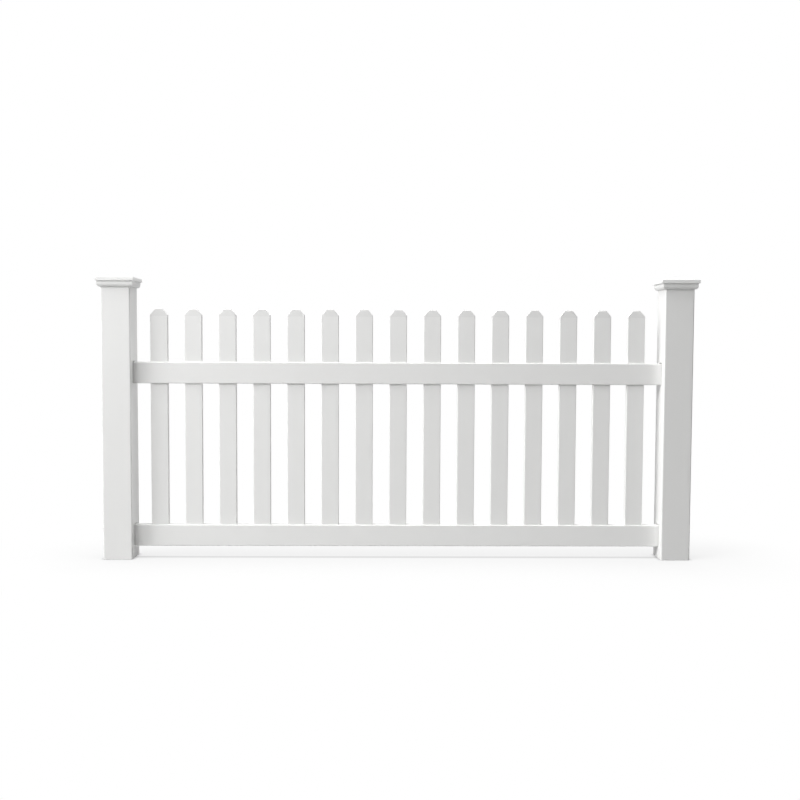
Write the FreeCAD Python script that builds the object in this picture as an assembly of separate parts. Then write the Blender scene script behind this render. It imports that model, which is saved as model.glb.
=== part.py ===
import FreeCAD, Part
import math
import os

# A picket fence panel of extruded white vinyl: two hollow posts with moulded caps,
# two hollow rails between them, and a row of hollow pickets with dog-eared caps.
# Sizes are in millimetres. X runs along the panel, Y from the front to the back, Z up.
# The origin is the middle of the left post's foot, at ground level.

# Posts
post_spacing = 2438.4  # from the middle of one post to the middle of the other
post_width = 127.0
post_wall = 3.8
post_corner = 5.5  # radius of the outer corners
post_height = 1219.2

# Rails
rail_height = 94.0
rail_thickness = 38.1
rail_wall = 2.8
rail_corner = 4.0
rail_insertion = 50.0  # how far each end reaches in from the post's inner face
bottom_rail_rise = 51.0  # from the ground to the bottom rail's underside
rail_opening = 622.0  # clear height between the two rails

# Holes routed in the posts for the rails: each rail lies on its hole's lower edge
route_side_play = 4.0
route_top_play = 4.0
route_corner = 5.0

# Pickets
picket_count = 15
picket_width = 76.2
picket_thickness = 22.2
picket_wall = 2.0
picket_corner = 3.0
picket_top = 1061.0  # height of the cut end, under the cap
slot_play = 0.4  # gap round a picket in its slot in a rail

# Dog-eared caps, flush with the pickets, with a plug that reaches down inside
ear_cap_wall = 1.5
ear_cap_play = 0.2  # gap between the plug and the picket's inside
ear_cap_plug = 14.0
ear_cap_side = 5.0  # from the cut end to where the corners are cut off
ear_cap_rise = 26.0  # from there to the flat top
ear_cap_flat = 33.0  # width of the flat top

# Post caps, from the top down: roof, fascia, cove, and a moulding that rounds in to the post
cap_play = 0.4  # gap between the skirt and the post
cap_overhang = 19.0  # how far the fascia stands out from the post
cap_roof = 5.5  # from the post's top edge up to the fascia's top
cap_roof_rise = 16.0  # height of the low pyramid over the fascia
cap_roof_wall = 3.0  # thickness over the hollow
cap_fascia = 15.0
cap_fascia_edge = 1.5  # radius of the fascia's two edges
cap_step = 3.0  # flat underside of the fascia, before the cove
cap_cove = 4.5  # radius of the cove
cap_bead = 1.0  # how far the moulding stands out from the cove's foot
cap_moulding = 21.0  # height of the moulding
cap_moulding_side = 8.0  # its upright part, over the round one
cap_moulding_foot = 2.5  # how far its foot stands out from the post

RIGHT = FreeCAD.Vector(1, 0, 0)
BACK = FreeCAD.Vector(0, 1, 0)
UP = FreeCAD.Vector(0, 0, 1)
ORIGIN = FreeCAD.Vector(0, 0, 0)
HAIR = 1e-6  # points no further apart than this are the same


def arc_points(centre, radius, start, turn, across, up):
    # first, middle and last point of an arc in the plane of the two directions
    points = []
    for share in (0, 0.5, 1):
        angle = math.radians(start + turn * share)
        points.append(
            centre + across * (radius * math.cos(angle)) + up * (radius * math.sin(angle))
        )
    return points


def closed_face(runs):
    # runs of two points are straight, runs of three are arcs, and gaps close straight
    edges = []
    for run, following in zip(runs, runs[1:] + runs[:1]):
        if len(run) == 3:
            edges.append(Part.Arc(*run).toShape())
        elif len(run) == 2:
            edges.append(Part.LineSegment(*run).toShape())
        if run[-1].distanceToPoint(following[0]) > HAIR:
            edges.append(Part.LineSegment(run[-1], following[0]).toShape())
    return Part.Face(Part.Wire(edges))


def rounded_bar(width, depth, length, radius):
    # a bar with round corners that stands on the XY plane
    runs = []
    for quarter, (right, back) in enumerate([(1, 1), (-1, 1), (-1, -1), (1, -1)]):
        centre = FreeCAD.Vector(
            right * (width / 2 - radius), back * (depth / 2 - radius), 0
        )
        runs.append(arc_points(centre, radius, 90 * quarter, 90, RIGHT, BACK))
    return closed_face(runs).extrude(UP * length)


def square_bar(width, depth, length, cut_corner=0.0):
    # a bar that stands on the XY plane, with its corners sharp or cut off straight
    x = width / 2
    y = depth / 2
    points = []
    for right, back in [(1, 1), (-1, 1), (-1, -1), (1, -1)]:
        on_side = FreeCAD.Vector(right * x, back * (y - cut_corner), 0)
        on_end = FreeCAD.Vector(right * (x - cut_corner), back * y, 0)
        pair = [on_side, on_end] if right == back else [on_end, on_side]
        points += pair if cut_corner > 0 else pair[:1]
    face = Part.Face(Part.makePolygon(points + points[:1]))
    return face.extrude(UP * length)


def tube(width, depth, length, wall, corner):
    # a hollow extrusion that stands on the XY plane, round outside and sharp inside
    bore = square_bar(width - 2 * wall, depth - 2 * wall, length)
    return rounded_bar(width, depth, length, corner).cut(bore)


def laid_along_x(shape):
    # what stood along Z now runs along X, and its width is its height
    return shape.rotated(ORIGIN, BACK, 90)


def rail_bottoms():
    return [bottom_rail_rise, bottom_rail_rise + rail_height + rail_opening]


def left_post():
    post = tube(post_width, post_width, post_height, post_wall, post_corner)
    hole = laid_along_x(
        rounded_bar(
            rail_height + route_top_play,
            rail_thickness + 2 * route_side_play,
            post_width / 2,
            route_corner,
        )
    )
    middle = (rail_height + route_top_play) / 2
    holes = [hole.translated(UP * (bottom + middle)) for bottom in rail_bottoms()]
    return post.cut(Part.makeCompound(holes))


def right_post():
    return left_post().rotated(ORIGIN, UP, 180).translated(RIGHT * post_spacing)


def picket_places():
    # the gaps between pickets, and from the end ones to the posts, are all alike
    clear = post_spacing - post_width
    gap = (clear - picket_count * picket_width) / (picket_count + 1)
    first = post_width / 2 + gap + picket_width / 2
    return [first + i * (gap + picket_width) for i in range(picket_count)]


def rail(bottom, slots_from, slots_to):
    # slots_from and slots_to are heights over the rail's underside
    length = post_spacing - post_width + 2 * rail_insertion
    start = post_width / 2 - rail_insertion
    body = laid_along_x(
        tube(rail_height, rail_thickness, length, rail_wall, rail_corner)
    ).translated(RIGHT * start + UP * (bottom + rail_height / 2))
    # a slot's corners are cut off along the tangent of the picket's round ones
    slot = square_bar(
        picket_width + 2 * slot_play,
        picket_thickness + 2 * slot_play,
        slots_to - slots_from,
        (picket_corner + slot_play) * (2 - math.sqrt(2)),
    ).translated(UP * (bottom + slots_from))
    slots = [slot.translated(RIGHT * x) for x in picket_places()]
    return body.cut(Part.makeCompound(slots))


def bottom_rail():
    # slotted in its top wall alone, so that its floor carries the pickets
    return rail(rail_bottoms()[0], rail_height / 2, rail_height)


def top_rail():
    return rail(rail_bottoms()[1], 0, rail_height)


def picket():
    foot = rail_bottoms()[0] + rail_wall
    length = picket_top - foot
    body = tube(picket_width, picket_thickness, length, picket_wall, picket_corner)
    return body.translated(UP * foot)


def ear_outline(foot):
    # the cap seen from the front: straight sides, two cut-off corners, a flat top
    half = picket_width / 2
    ears = picket_top + ear_cap_side
    top = ears + ear_cap_rise
    sides = [
        (-half, foot),
        (half, foot),
        (half, ears),
        (ear_cap_flat / 2, top),
        (-ear_cap_flat / 2, top),
        (-half, ears),
    ]
    points = [FreeCAD.Vector(x, 0, z) for x, z in sides]
    return Part.Face(Part.makePolygon(points + points[:1]))


def extruded_across(face, thickness):
    # a face in the XZ plane, made as thick as given along Y and centred there
    return face.translated(BACK * (-thickness / 2)).extrude(BACK * thickness)


def picket_cap():
    # its rim is as round as the picket's corners and stands on the cut end
    body = extruded_across(ear_outline(picket_top), picket_thickness)
    rim = [
        edge
        for edge in body.Edges
        if edge.BoundBox.YLength < HAIR
        and edge.BoundBox.ZMax > picket_top + HAIR
    ]
    body = body.makeFillet(picket_corner, rim)
    plug_inset = picket_wall + ear_cap_play
    plug = square_bar(
        picket_width - 2 * plug_inset,
        picket_thickness - 2 * plug_inset,
        ear_cap_plug + ear_cap_side,
    ).translated(UP * (picket_top - ear_cap_plug))
    # one hollow runs from the plug's open foot up into the cap
    inset = plug_inset + ear_cap_wall
    hollow = extruded_across(
        ear_outline(picket_top - ear_cap_plug - inset).makeOffset2D(-inset, join=2),
        picket_thickness - 2 * inset,
    )
    return body.fuse(plug).cut(hollow)


def square_moulding(outline):
    # the outline run along both sides at once, so that the corners are mitred
    reach = post_width + 4 * cap_overhang
    along_y = extruded_across(outline, reach)
    return along_y.common(along_y.rotated(ORIGIN, UP, 90))


def mirrored_runs(runs):
    # a right half, drawn from its foot up, followed by its mirror image coming down
    other = [
        [FreeCAD.Vector(-p.x, p.y, p.z) for p in reversed(run)] for run in reversed(runs)
    ]
    return runs + other


def post_cap_outline():
    half = post_width / 2
    fascia_top = post_height + cap_roof
    fascia_foot = fascia_top - cap_fascia
    cove_foot = fascia_foot - cap_cove
    side_foot = cove_foot - cap_moulding_side
    fascia_x = half + cap_overhang
    cove_x = fascia_x - cap_step
    bead_x = cove_x - cap_cove + cap_bead
    edge = cap_fascia_edge
    # the round part starts upright and ends at the moulding's foot
    round_depth = bead_x - half - cap_moulding_foot
    round_height = cap_moulding - cap_moulding_side
    round_radius = (round_depth**2 + round_height**2) / (2 * round_depth)
    turn = math.degrees(math.atan2(round_height, round_radius - round_depth))

    def arc(x, z, radius, start, turn):
        return arc_points(FreeCAD.Vector(x, 0, z), radius, start, turn, RIGHT, UP)

    runs = [
        arc(bead_x - round_radius, side_foot, round_radius, -turn, turn),
        [FreeCAD.Vector(bead_x, 0, cove_foot)],
        arc(cove_x, cove_foot, cap_cove, 180, -90),
        arc(fascia_x - edge, fascia_foot + edge, edge, -90, 90),
        arc(fascia_x - edge, fascia_top - edge, edge, 0, 90),
        [FreeCAD.Vector(0, 0, fascia_top + cap_roof_rise)],
    ]
    return closed_face(mirrored_runs(runs))


def post_cap():
    half_bore = post_width / 2 - post_wall
    roof_half = post_width / 2 + cap_overhang - cap_fascia_edge
    skirt = cap_fascia + cap_cove + cap_moulding - cap_roof
    across = post_width + 2 * cap_play
    socket = square_bar(across, across, skirt).translated(UP * (post_height - skirt))
    # the hollow under the roof is as wide as the post's own, and follows the roof's slope
    peak = post_height + cap_roof + cap_roof_rise - cap_roof_wall
    eaves = peak - cap_roof_rise * half_bore / roof_half
    runs = [
        [FreeCAD.Vector(half_bore, 0, post_height)],
        [FreeCAD.Vector(half_bore, 0, eaves)],
        [FreeCAD.Vector(0, 0, peak)],
    ]
    hollow = square_moulding(closed_face(mirrored_runs(runs)))
    return square_moulding(post_cap_outline()).cut(socket).cut(hollow)


def build():
    nodes = {
        "left_post": left_post(),
        "right_post": right_post(),
        "left_post_cap": post_cap(),
        "right_post_cap": post_cap().translated(RIGHT * post_spacing),
        "bottom_rail": bottom_rail(),
        "top_rail": top_rail(),
    }
    one_picket = picket()
    one_cap = picket_cap()
    for number, x in enumerate(picket_places(), 1):
        nodes[f"picket_{number:02d}"] = one_picket.translated(RIGHT * x)
        nodes[f"picket_cap_{number:02d}"] = one_cap.translated(RIGHT * x)
    return nodes


def export(nodes):
    os.makedirs("parts", exist_ok=True)
    for name, shape in nodes.items():
        piece = shape.removeSplitter()
        piece.exportStep(f"parts/{name}.step")
        print(f"{name}: {len(piece.Solids)} solid, {piece.Volume / 1e6:.3f} litres")


export(build())
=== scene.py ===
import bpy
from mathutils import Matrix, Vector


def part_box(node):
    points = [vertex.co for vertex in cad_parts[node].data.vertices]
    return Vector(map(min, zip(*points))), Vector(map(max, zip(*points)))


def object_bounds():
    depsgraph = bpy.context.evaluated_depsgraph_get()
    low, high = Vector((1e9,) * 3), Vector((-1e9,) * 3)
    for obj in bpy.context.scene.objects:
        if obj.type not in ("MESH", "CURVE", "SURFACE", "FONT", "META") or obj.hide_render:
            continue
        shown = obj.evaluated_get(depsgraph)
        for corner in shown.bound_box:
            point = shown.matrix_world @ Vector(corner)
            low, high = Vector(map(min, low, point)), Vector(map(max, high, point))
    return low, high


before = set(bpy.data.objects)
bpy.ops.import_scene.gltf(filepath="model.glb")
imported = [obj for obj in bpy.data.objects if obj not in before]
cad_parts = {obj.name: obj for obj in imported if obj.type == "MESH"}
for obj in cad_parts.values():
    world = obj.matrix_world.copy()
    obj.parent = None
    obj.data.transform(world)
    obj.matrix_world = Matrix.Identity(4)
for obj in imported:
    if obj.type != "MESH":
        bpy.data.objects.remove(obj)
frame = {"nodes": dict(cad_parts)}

import fnmatch
import math

import bpy
from mathutils import Matrix, Vector

# White vinyl picket fence panel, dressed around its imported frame.
# Metres, X along the panel, Y from front to back, Z up from the ground.

cadLow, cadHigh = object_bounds()
nodes = frame["nodes"]
panelMiddle = (cadLow.x + cadHigh.x) / 2


def nodesLike(pattern):
    return [nodes[name] for name in sorted(fnmatch.filter(nodes, pattern))]


postNodes = nodesLike("*_post")
postCapNodes = nodesLike("*_post_cap")
railNodes = nodesLike("*_rail")
picketNodes = nodesLike("picket_[0-9]*")
picketCapNodes = nodesLike("picket_cap_*")


def rowOf(first, second):
    # where a row of pieces starts along X, half a gap before the first, and its pitch
    low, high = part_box(first)
    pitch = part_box(second)[0].x - low.x
    return (low.x + high.x - pitch) / 2, pitch


postRow = rowOf("left_post", "right_post")
picketRow = rowOf("picket_01", "picket_02")
railRow = (cadLow.x, cadHigh.x - cadLow.x)  # one piece over the whole length
print("frame:", len(nodes), "nodes, pickets every", round(picketRow[1] * 1000, 1), "mm")


# shader nodes and groups

def fillInputs(tree, node, inputs):
    # each input takes the socket that feeds it, or a value of its own
    for label, value in inputs.items():
        if isinstance(value, bpy.types.NodeSocket):
            tree.links.new(value, node.inputs[label])
        else:
            node.inputs[label].default_value = value


def addNode(tree, kind, inputs=None, **settings):
    node = tree.nodes.new(kind)
    for key, value in settings.items():
        setattr(node, key, value)
    fillInputs(tree, node, inputs or {})
    return node


def mathNode(tree, operation, first, second=0.0, clamped=False):
    return addNode(
        tree,
        "ShaderNodeMath",
        {0: first, 1: second},
        operation=operation,
        use_clamp=clamped,
    ).outputs[0]


def vectorNode(tree, operation, first, second=(0, 0, 0)):
    node = addNode(
        tree, "ShaderNodeVectorMath", {0: first, 1: second}, operation=operation
    )
    return node.outputs["Value" if operation == "LENGTH" else "Vector"]


def newGroup(name, inputs, outputs):
    # gives the group, and what it is given
    group = bpy.data.node_groups.new(name, "ShaderNodeTree")
    for direction, sockets in (("INPUT", inputs), ("OUTPUT", outputs)):
        for label, kind in sockets.items():
            group.interface.new_socket(
                label, in_out=direction, socket_type="NodeSocket" + kind
            )
    return group, group.nodes.new("NodeGroupInput").outputs


patternSettings = {
    "Lines": {"Detail": 3.0, "Roughness": 0.6},
    "Waves": {"Detail": 1.0},
    "Drift": {"Scale": 2.2, "Detail": 4.0},
}


def buildExtrusionLines():
    # fine lines that the die leaves along an extrusion, and the slow waves of its walls
    group, given = newGroup(
        "extrusionLines",
        {
            "Vector": "Vector",
            "Line Scale": "Float",
            "Wave Scale": "Float",
            "Seed": "Float",
        },
        {"Lines": "Float", "Waves": "Float"},
    )
    patterns = {}
    for label, scale in (("Lines", "Line Scale"), ("Waves", "Wave Scale")):
        noise = addNode(
            group,
            "ShaderNodeTexNoise",
            {
                "Vector": given["Vector"],
                "Scale": given[scale],
                "W": given["Seed"],
                **patternSettings[label],
            },
            noise_dimensions="4D",
        )
        patterns[label] = noise.outputs["Fac"]
    addNode(group, "NodeGroupOutput", patterns)
    return group


def buildVinylTone():
    # a white that drifts over each piece and from piece to piece, with faint streaks
    group, given = newGroup(
        "vinylTone",
        {
            "Vector": "Vector",
            "Lines": "Float",
            "Row Start": "Float",
            "Row Pitch": "Float",
            "Colour": "Color",
            "Shade": "Color",
            "Drift": "Float",
            "Streaks": "Float",
        },
        {"Colour": "Color", "Mask": "Float"},
    )
    place = addNode(group, "ShaderNodeSeparateXYZ", {0: given["Vector"]})
    along = mathNode(group, "SUBTRACT", place.outputs["X"], given["Row Start"])
    counted = mathNode(group, "DIVIDE", along, given["Row Pitch"])
    piece = addNode(
        group,
        "ShaderNodeTexWhiteNoise",
        {"W": mathNode(group, "FLOOR", counted)},
        noise_dimensions="1D",
    )
    drift = addNode(
        group,
        "ShaderNodeTexNoise",
        {"Vector": given["Vector"], **patternSettings["Drift"]},
    )
    both = mathNode(group, "ADD", piece.outputs["Value"], drift.outputs["Fac"])
    slow = mathNode(group, "MULTIPLY", both, given["Drift"])
    fast = mathNode(group, "MULTIPLY", given["Lines"], given["Streaks"])
    blend = addNode(
        group,
        "ShaderNodeMix",
        {
            "Factor": mathNode(group, "ADD", slow, fast),
            "A": given["Colour"],
            "B": given["Shade"],
        },
        data_type="RGBA",
    )
    addNode(
        group,
        "NodeGroupOutput",
        {"Colour": blend.outputs["Result"], "Mask": drift.outputs["Fac"]},
    )
    return group


extrusionLines = buildExtrusionLines()
vinylTone = buildVinylTone()
print("shader groups built")


# vinyl

vinylSettings = {
    "warmth": 0.988,  # the blue beside the red and green
    "shade": 0.93,  # the darkest tone beside the lightest
    "roughness": (0.34, 0.46),
    "roughnessMask": (0.3, 0.7),  # the values of the tone's mask that stand for those two
    "ior": 1.53,
}


def vinylColour(level):
    return (level, level, level * vinylSettings["warmth"], 1)


def vinylMaterial(name, settings):
    material = bpy.data.materials.new(name)
    material.use_nodes = True
    tree = material.node_tree
    surface = addNode(tree, "ShaderNodeTexCoord").outputs["Object"]
    drawn = addNode(
        tree, "ShaderNodeMapping", {"Vector": surface, "Scale": settings["stretch"]}
    )
    lines = addNode(
        tree,
        "ShaderNodeGroup",
        {
            "Vector": drawn.outputs["Vector"],
            "Line Scale": settings["lineScale"],
            "Wave Scale": settings["waveScale"],
            "Seed": settings["seed"],
        },
        node_tree=extrusionLines,
    ).outputs
    rowStart, rowPitch = settings["row"]
    tone = addNode(
        tree,
        "ShaderNodeGroup",
        {
            "Vector": surface,
            "Lines": lines["Lines"],
            "Row Start": rowStart,
            "Row Pitch": rowPitch,
            "Colour": vinylColour(settings["white"]),
            "Shade": vinylColour(settings["white"] * vinylSettings["shade"]),
            "Drift": settings["drift"],
            "Streaks": settings["streaks"],
        },
        node_tree=vinylTone,
    ).outputs
    roughness = addNode(
        tree,
        "ShaderNodeMapRange",
        {
            "Value": tone["Mask"],
            "From Min": vinylSettings["roughnessMask"][0],
            "From Max": vinylSettings["roughnessMask"][1],
            "To Min": vinylSettings["roughness"][0],
            "To Max": vinylSettings["roughness"][1],
        },
    )
    waved = addNode(
        tree,
        "ShaderNodeBump",
        {"Strength": 1.0, "Distance": settings["waveBump"], "Height": lines["Waves"]},
    )
    lined = addNode(
        tree,
        "ShaderNodeBump",
        {
            "Strength": 1.0,
            "Distance": settings["lineBump"],
            "Height": lines["Lines"],
            "Normal": waved.outputs["Normal"],
        },
    )
    fillInputs(
        tree,
        tree.nodes["Principled BSDF"],
        {
            "Base Color": tone["Colour"],
            "Roughness": roughness.outputs["Result"],
            "IOR": vinylSettings["ior"],
            "Normal": lined.outputs["Normal"],
        },
    )
    return material


def dress(pieces, material):
    for piece in pieces:
        piece.data.materials.clear()
        piece.data.materials.append(material)


# the pattern's scale along X, Y and Z
drawnOut = 0.006
standing = (1.0, 1.0, drawnOut)
lying = (drawnOut, 1.0, 1.0)
moulded = (1.0, 1.0, 1.0)

postVinyl = {
    "white": 0.84,
    "stretch": standing,
    "lineScale": 450.0,
    "lineBump": 0.00004,
    "waveScale": 6.0,
    "waveBump": 0.0006,
    "streaks": 0.2,
    "drift": 0.2,
    "seed": 0.0,
    "row": postRow,
}
railVinyl = dict(postVinyl, white=0.88, stretch=lying, waveBump=0.0005, row=railRow)
picketVinyl = dict(postVinyl, white=0.885, waveBump=0.0004, streaks=0.3, row=picketRow)
postCapVinyl = dict(
    postVinyl, white=0.86, stretch=moulded, lineBump=0.00002, waveBump=0.0001, streaks=0.1
)
picketCapVinyl = dict(postCapVinyl, white=0.84, row=picketRow)

dress(postNodes, vinylMaterial("postVinyl", postVinyl))
dress(railNodes, vinylMaterial("railVinyl", railVinyl))
dress(picketNodes, vinylMaterial("picketVinyl", picketVinyl))
dress(postCapNodes, vinylMaterial("postCapVinyl", postCapVinyl))
dress(picketCapNodes, vinylMaterial("picketCapVinyl", picketCapVinyl))
print("vinyl laid on", len(nodes), "nodes")


# floor and surround

floorSettings = {
    "size": 40.0,
    "drop": 0.0005,  # how far it lies below the feet
    "bounce": 0.48,  # what it sends back to the panel
    "shadowShare": 0.07,  # how much of the lamps' light the camera sees on it
    "glow": 0.912,  # what lifts it to white beside that
    "shadeSamples": 16,
    "contact": {"reach": 0.018, "depth": 0.7},  # painted contact shade, a thin dark line on the floor at the feet
    "shade": {"reach": 0.5, "depth": 0.2},  # the soft shade round the whole panel
    # the painted shadow line on the floor under the bottom rail
    "paintedRailShadow": {"place": -0.006, "halfWidth": 0.004, "softEdge": 0.024, "depth": 0.22},
    # it turns plain white between these two distances from the panel's outline
    "near": 0.1,
    "far": 0.6,
}


def buildBoxFade():
    # 0 close to a box round the middle, 1 far from it
    group, given = newGroup(
        "boxFade",
        {"Vector": "Vector", "Half Size": "Vector", "Near": "Float", "Far": "Float"},
        {"Mask": "Float"},
    )
    mirrored = vectorNode(group, "ABSOLUTE", given["Vector"])
    beyond = vectorNode(group, "SUBTRACT", mirrored, given["Half Size"])
    distance = vectorNode(group, "LENGTH", vectorNode(group, "MAXIMUM", beyond))
    fade = addNode(
        group,
        "ShaderNodeMapRange",
        {"Value": distance, "From Min": given["Near"], "From Max": given["Far"]},
        interpolation_type="SMOOTHSTEP",
    )
    addNode(group, "NodeGroupOutput", {"Mask": fade.outputs["Result"]})
    return group


boxFade = buildBoxFade()


def fadeFrom(tree, middle, halfSize, near, far):
    surface = addNode(tree, "ShaderNodeTexCoord").outputs["Object"]
    return addNode(
        tree,
        "ShaderNodeGroup",
        {
            "Vector": vectorNode(tree, "SUBTRACT", surface, middle),
            "Half Size": halfSize,
            "Near": near,
            "Far": far,
        },
        node_tree=boxFade,
    ).outputs["Mask"]


def shadeBy(tree, mask, depth):
    # 1 where the mask is 1, down to 1 - depth where it is 0
    scaled = addNode(tree, "ShaderNodeMapRange", {"Value": mask, "To Min": 1 - depth})
    return scaled.outputs["Result"]


def shadeNear(tree, reach, depth):
    # darker where the panel closes off the ground within reach
    openness = addNode(
        tree,
        "ShaderNodeAmbientOcclusion",
        {"Distance": reach},
        samples=floorSettings["shadeSamples"],
    )
    return shadeBy(tree, openness.outputs["AO"], depth)


def seenDirectly(tree):
    # 1 for the rays that look at the background, 0 for those that light the panel
    rays = addNode(tree, "ShaderNodeLightPath").outputs
    total = rays["Is Camera Ray"]
    for name in ("Is Glossy Ray", "Is Transmission Ray"):
        total = mathNode(tree, "ADD", total, rays[name], clamped=True)
    return total


def plainShader(tree, kind, **inputs):
    return addNode(tree, kind, inputs).outputs[0]


def mixShaders(tree, share, first, second):
    inputs = {0: share, 1: first, 2: second}
    return addNode(tree, "ShaderNodeMixShader", inputs).outputs[0]


def grey(level):
    return (level, level, level, 1)


def emptyTree(owner):
    owner.use_nodes = True
    owner.node_tree.nodes.clear()
    return owner.node_tree


def floorGlow(tree):
    # how strongly the floor near the panel is lifted towards white, less where shade is
    # painted under the bottom rail and near the panel
    railLow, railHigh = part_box("bottom_rail")
    line = floorSettings["paintedRailShadow"]
    clearOfRailShadow = fadeFrom(
        tree,
        (0, line["place"], 0),
        ((railHigh.x - railLow.x) / 2, line["halfWidth"], 0),
        0.0,
        line["softEdge"],
    )
    # painted shadow: a soft dark band in the floor's glow along the bottom rail
    strength = shadeBy(tree, clearOfRailShadow, line["depth"])
    # painted shade from ambient occlusion: a thin line at the feet and a soft shade round
    # the panel
    for part in (
        shadeNear(tree, **floorSettings["contact"]),
        shadeNear(tree, **floorSettings["shade"]),
        floorSettings["glow"],
    ):
        strength = mathNode(tree, "MULTIPLY", strength, part)
    return strength


def floorMaterial():
    material = bpy.data.materials.new("paleFloor")
    tree = emptyTree(material)
    forLight = plainShader(
        tree, "ShaderNodeBsdfDiffuse", Color=grey(floorSettings["bounce"])
    )
    shown = plainShader(
        tree, "ShaderNodeBsdfDiffuse", Color=grey(floorSettings["shadowShare"])
    )
    glow = plainShader(tree, "ShaderNodeEmission", Strength=floorGlow(tree))
    lifted = addNode(tree, "ShaderNodeAddShader", {0: shown, 1: glow}).outputs[0]
    white = plainShader(tree, "ShaderNodeEmission", Strength=1.0)
    farOff = fadeFrom(
        tree,
        (0, 0, 0),
        ((cadHigh.x - cadLow.x) / 2, (cadHigh.y - cadLow.y) / 2, 0),
        floorSettings["near"],
        floorSettings["far"],
    )
    forSight = mixShaders(tree, farOff, lifted, white)
    surface = mixShaders(tree, seenDirectly(tree), forLight, forSight)
    addNode(tree, "ShaderNodeOutputMaterial", {"Surface": surface})
    return material


def paleFloor():
    bpy.ops.mesh.primitive_plane_add(size=floorSettings["size"])
    floor = bpy.context.object
    floor.name = "floor"
    floor.location = (panelMiddle, 0, cadLow.z - floorSettings["drop"])
    floor.data.materials.append(floorMaterial())


def paleSurround():
    world = bpy.data.worlds.new("paleSurround")
    bpy.context.scene.world = world
    tree = emptyTree(world)
    unlit = plainShader(tree, "ShaderNodeBackground", Strength=0.0)
    white = plainShader(tree, "ShaderNodeBackground", Color=grey(1.0), Strength=1.0)
    surface = mixShaders(tree, seenDirectly(tree), unlit, white)
    addNode(tree, "ShaderNodeOutputWorld", {"Surface": surface})


paleFloor()
paleSurround()
print("floor and surround laid out")


# lamps

lampTarget = Vector((panelMiddle, 0, 0.6))

# around: degrees to the right of the camera's side, up: degrees, away: metres
softLamps = {
    "keyLeft": {"around": -40, "up": 35, "away": 6.0, "size": 2.4, "power": 134.0},
    "sideLeft": {"around": -75, "up": 18, "away": 4.5, "size": 1.8, "power": 58.0},
    "overhead": {"around": 0, "up": 85, "away": 4.0, "size": 1.8, "power": 97.0},
    "backRight": {"around": 165, "up": 30, "away": 4.5, "size": 1.8, "power": 62.0},
}
# these light the whole panel alike, and angle is their width in degrees
farLamps = {
    "farLeft": {"around": -65, "up": 35, "away": 9.0, "angle": 28, "power": 1.67},
}


def placeLamp(data, around, up, away, power):
    around, up = math.radians(around), math.radians(up)
    level = math.cos(up)
    aim = Vector((math.sin(around) * level, -math.cos(around) * level, math.sin(up)))
    data.energy = power
    lamp = bpy.data.objects.new(data.name, data)
    bpy.context.collection.objects.link(lamp)
    lamp.location = lampTarget + aim * away
    lamp.rotation_euler = aim.to_track_quat("Z", "Y").to_euler()


def softLamp(name, size, **settings):
    data = bpy.data.lights.new(name, "AREA")
    data.shape = "SQUARE"
    data.size = size
    placeLamp(data, **settings)


def farLamp(name, angle, **settings):
    data = bpy.data.lights.new(name, "SUN")
    data.angle = math.radians(angle)
    placeLamp(data, **settings)


for name, settings in softLamps.items():
    softLamp(name, **settings)
for name, settings in farLamps.items():
    farLamp(name, **settings)
print("lamps lit:", ", ".join([*softLamps, *farLamps]))


# camera, worked out from the corners and edges of the panel in the photograph

cameraSettings = {
    "place": (1.1692, -4.436, 0.9426),
    "yaw": 0.76,  # degrees to the right
    "pitch": 3.17,  # degrees down
    "roll": -0.24,  # degrees
    "lens": 45.43,
    "sensor": 36.0,
}


def photoCamera():
    data = bpy.data.cameras.new("photoCamera")
    data.lens = cameraSettings["lens"]
    data.sensor_width = cameraSettings["sensor"]
    camera = bpy.data.objects.new("photoCamera", data)
    bpy.context.collection.objects.link(camera)
    yaw, pitch, roll = (math.radians(cameraSettings[k]) for k in ("yaw", "pitch", "roll"))
    turn = (
        Matrix.Rotation(-yaw, 4, "Z")
        @ Matrix.Rotation(math.pi / 2 - pitch, 4, "X")
        @ Matrix.Rotation(-roll, 4, "Z")
    )
    camera.matrix_world = Matrix.Translation(cameraSettings["place"]) @ turn
    bpy.context.scene.camera = camera


photoCamera()
bpy.context.scene.view_settings.view_transform = "Standard"
print("camera placed")
